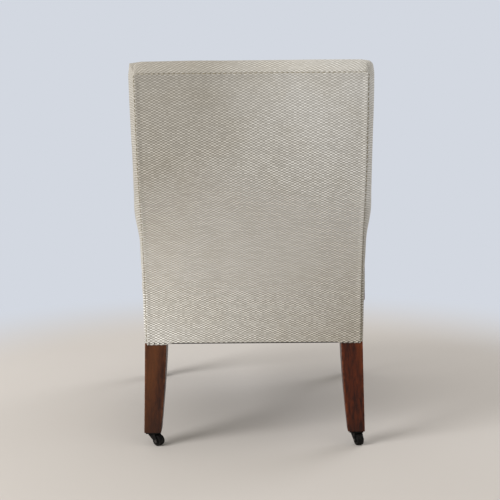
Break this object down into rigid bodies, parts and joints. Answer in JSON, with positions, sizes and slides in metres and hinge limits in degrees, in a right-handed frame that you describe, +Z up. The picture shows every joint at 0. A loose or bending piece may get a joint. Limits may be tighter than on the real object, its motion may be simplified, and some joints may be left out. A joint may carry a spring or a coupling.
{
  "type": "open-arm chair",
  "caption": "Upholstered open-arm chair with a raked back, sprung seat, padded wooden arms, swept square rear legs and small swivelling castors",
  "frame": {"origin": "on the floor, under the middle of the chair's box", "axes": "+X is the sitter's left, +Y is the back of the chair, +Z is up"},
  "size_m": [0.666, 0.728, 0.943],
  "materials": {
    "mahogany": "dark red-brown mahogany, french polished, worn at the arrises",
    "beech": "plain planed beech",
    "woven_cover": "cream cotton cloth woven in a small diamond figure",
    "stuffing": "hair stuffing under calico",
    "hessian": "plain hessian",
    "jute_webbing": "herringbone jute webbing",
    "bottom_cloth": "black bottom cloth",
    "spring_wire": "drawn steel wire",
    "steel": "dull steel",
    "blackened_iron": "blackened cast iron, rubbed bright at the rims"
  },
  "bodies": {
    "root": {"rear_leg_left": "mahogany", "rear_leg_right": "mahogany", "front_leg_left": "mahogany", "front_leg_right": "mahogany", "front_rail": "beech", "rear_rail": "beech", "side_rail_left": "beech", "side_rail_right": "beech", "back_top_rail": "beech", "back_lower_rail": "beech", "corner_blocks": "beech", "corner_block_screws": "steel", "arm_left": "mahogany", "arm_right": "mahogany", "arm_support_left": "mahogany", "arm_support_right": "mahogany", "arm_screws": "steel", "arm_pad_left": "stuffing", "arm_pad_right": "stuffing", "arm_cover_left": "woven_cover", "arm_cover_right": "woven_cover", "seat_webbing": "jute_webbing", "seat_springs": "spring_wire", "seat_hessian": "hessian", "seat_pad": "stuffing", "seat_cover": "woven_cover", "dust_cover": "bottom_cloth", "back_webbing": "jute_webbing", "back_hessian": "hessian", "back_pad": "stuffing", "inside_back_cover": "woven_cover", "outside_back_cover": "woven_cover", "side_border_left": "woven_cover", "side_border_right": "woven_cover", "castor_screws": "steel", "rear_left_castor_plate": "blackened_iron", "rear_right_castor_plate": "blackened_iron", "front_left_castor_plate": "blackened_iron", "front_right_castor_plate": "blackened_iron"},
    "rear_left_horn": {"rear_left_castor_horn": "blackened_iron", "rear_left_castor_axle": "steel"},
    "rear_left_wheel": {"rear_left_castor_wheel": "blackened_iron"},
    "rear_right_horn": {"rear_right_castor_horn": "blackened_iron", "rear_right_castor_axle": "steel"},
    "rear_right_wheel": {"rear_right_castor_wheel": "blackened_iron"},
    "front_left_horn": {"front_left_castor_horn": "blackened_iron", "front_left_castor_axle": "steel"},
    "front_left_wheel": {"front_left_castor_wheel": "blackened_iron"},
    "front_right_horn": {"front_right_castor_horn": "blackened_iron", "front_right_castor_axle": "steel"},
    "front_right_wheel": {"front_right_castor_wheel": "blackened_iron"}
  },
  "joints": [
    {"name": "rear_left_swivel", "type": "hinge", "parent": "root", "child": "rear_left_horn", "pos_m": [0.253, 0.3067, 0.028], "axis": [0, 0, 1], "continuous": true},
    {"name": "rear_left_roll", "type": "hinge", "parent": "rear_left_horn", "child": "rear_left_wheel", "pos_m": [0.23907, 0.31645, 0.013], "axis": [0.5736, 0.8192, 0], "continuous": true},
    {"name": "rear_right_swivel", "type": "hinge", "parent": "root", "child": "rear_right_horn", "pos_m": [-0.253, 0.3067, 0.028], "axis": [0, 0, 1], "continuous": true},
    {"name": "rear_right_roll", "type": "hinge", "parent": "rear_right_horn", "child": "rear_right_wheel", "pos_m": [-0.25881, 0.32267, 0.013], "axis": [0.9397, 0.342, 0], "continuous": true},
    {"name": "front_left_swivel", "type": "hinge", "parent": "root", "child": "front_left_horn", "pos_m": [0.296, -0.333, 0.028], "axis": [0, 0, 1], "continuous": true},
    {"name": "front_left_roll", "type": "hinge", "parent": "front_left_horn", "child": "front_left_wheel", "pos_m": [0.296, -0.316, 0.013], "axis": [1, 0, 0], "continuous": true},
    {"name": "front_right_swivel", "type": "hinge", "parent": "root", "child": "front_right_horn", "pos_m": [-0.296, -0.333, 0.028], "axis": [0, 0, 1], "continuous": true},
    {"name": "front_right_roll", "type": "hinge", "parent": "front_right_horn", "child": "front_right_wheel", "pos_m": [-0.296, -0.316, 0.013], "axis": [1, 0, 0], "continuous": true}
  ]
}
